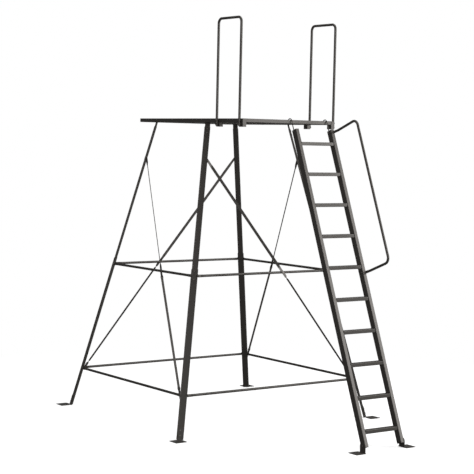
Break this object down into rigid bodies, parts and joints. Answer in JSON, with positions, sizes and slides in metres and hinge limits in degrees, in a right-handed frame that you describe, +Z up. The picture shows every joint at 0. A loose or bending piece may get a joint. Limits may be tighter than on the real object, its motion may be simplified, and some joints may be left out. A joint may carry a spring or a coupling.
{
  "type": "ladder tree stand",
  "caption": "Free-standing steel ladder stand: splayed channel legs with tube and strap bracing carry a railed deck, reached by a leaning ladder hooked over its front edge.",
  "frame": {"origin": "on the ground, at the centre of the whole stand's outline seen from above", "axes": "+Z up, +X along the ladder's rungs to the right of someone facing the ladder, +Y away from them, under the deck"},
  "size_m": [2.531, 3.5748, 4.021],
  "materials": {
    "powder_coat": "satin",
    "tread_coat": "satin",
    "deck_mesh": "satin",
    "hardware": "blackened"
  },
  "bodies": {
    "tower": {"brace_bolts": "hardware", "deck_floor": "deck_mesh", "deck_front_tube": "powder_coat", "deck_joist_front": "powder_coat", "deck_joist_front_leg": "powder_coat", "deck_joist_middle": "powder_coat", "deck_joist_rear_leg": "powder_coat", "deck_left_tube": "powder_coat", "deck_rear_tube": "powder_coat", "deck_right_tube": "powder_coat", "front_left_foot": "powder_coat", "front_left_leg_lower": "powder_coat", "front_left_leg_stub": "powder_coat", "front_left_leg_upper": "powder_coat", "front_right_foot": "powder_coat", "front_right_leg_lower": "powder_coat", "front_right_leg_stub": "powder_coat", "front_right_leg_upper": "powder_coat", "left_rail_bracket_front": "powder_coat", "left_rail_bracket_rear": "powder_coat", "left_side_rail": "powder_coat", "leg_bolts": "hardware", "low_brace_front": "powder_coat", "low_brace_left": "powder_coat", "low_brace_rear": "powder_coat", "low_brace_right": "powder_coat", "lower_strap_front": "powder_coat", "lower_strap_left": "powder_coat", "lower_strap_rear": "powder_coat", "lower_strap_right": "powder_coat", "middle_brace_front": "powder_coat", "middle_brace_left": "powder_coat", "middle_brace_rear": "powder_coat", "middle_brace_right": "powder_coat", "rail_bolts": "hardware", "rear_left_foot": "powder_coat", "rear_left_leg_lower": "powder_coat", "rear_left_leg_stub": "powder_coat", "rear_left_leg_upper": "powder_coat", "rear_right_foot": "powder_coat", "rear_right_leg_lower": "powder_coat", "rear_right_leg_stub": "powder_coat", "rear_right_leg_upper": "powder_coat", "right_rail_bracket_front": "powder_coat", "right_rail_bracket_rear": "powder_coat", "right_side_rail": "powder_coat", "upper_strap_front": "powder_coat", "upper_strap_left": "powder_coat", "upper_strap_rear": "powder_coat", "upper_strap_right": "powder_coat"},
    "ladder": {"foot_pivot_bolts": "hardware", "handrail_bolts": "hardware", "ladder_handrail": "powder_coat", "ladder_left_hook": "powder_coat", "ladder_left_stile": "powder_coat", "ladder_right_hook": "powder_coat", "ladder_right_stile": "powder_coat", "ladder_rungs": "tread_coat"},
    "ladder_foot_left": {"ladder_left_foot": "powder_coat"},
    "ladder_foot_right": {"ladder_right_foot": "powder_coat"}
  },
  "joints": [
    {"name": "ladder_swing", "type": "hinge", "parent": "tower", "child": "ladder", "pos_m": [0, -0.49104, 3.029], "axis": [-1, 0, 0], "range_deg": [0, 40]},
    {"name": "ladder_left_foot_pivot", "type": "hinge", "parent": "ladder", "child": "ladder_foot_left", "pos_m": [0, -1.72491, 0.062], "axis": [1, 0, 0], "range_deg": [-30, 30]},
    {"name": "ladder_right_foot_pivot", "type": "hinge", "parent": "ladder", "child": "ladder_foot_right", "pos_m": [0.477, -1.72491, 0.062], "axis": [1, 0, 0], "range_deg": [-30, 30]}
  ]
}
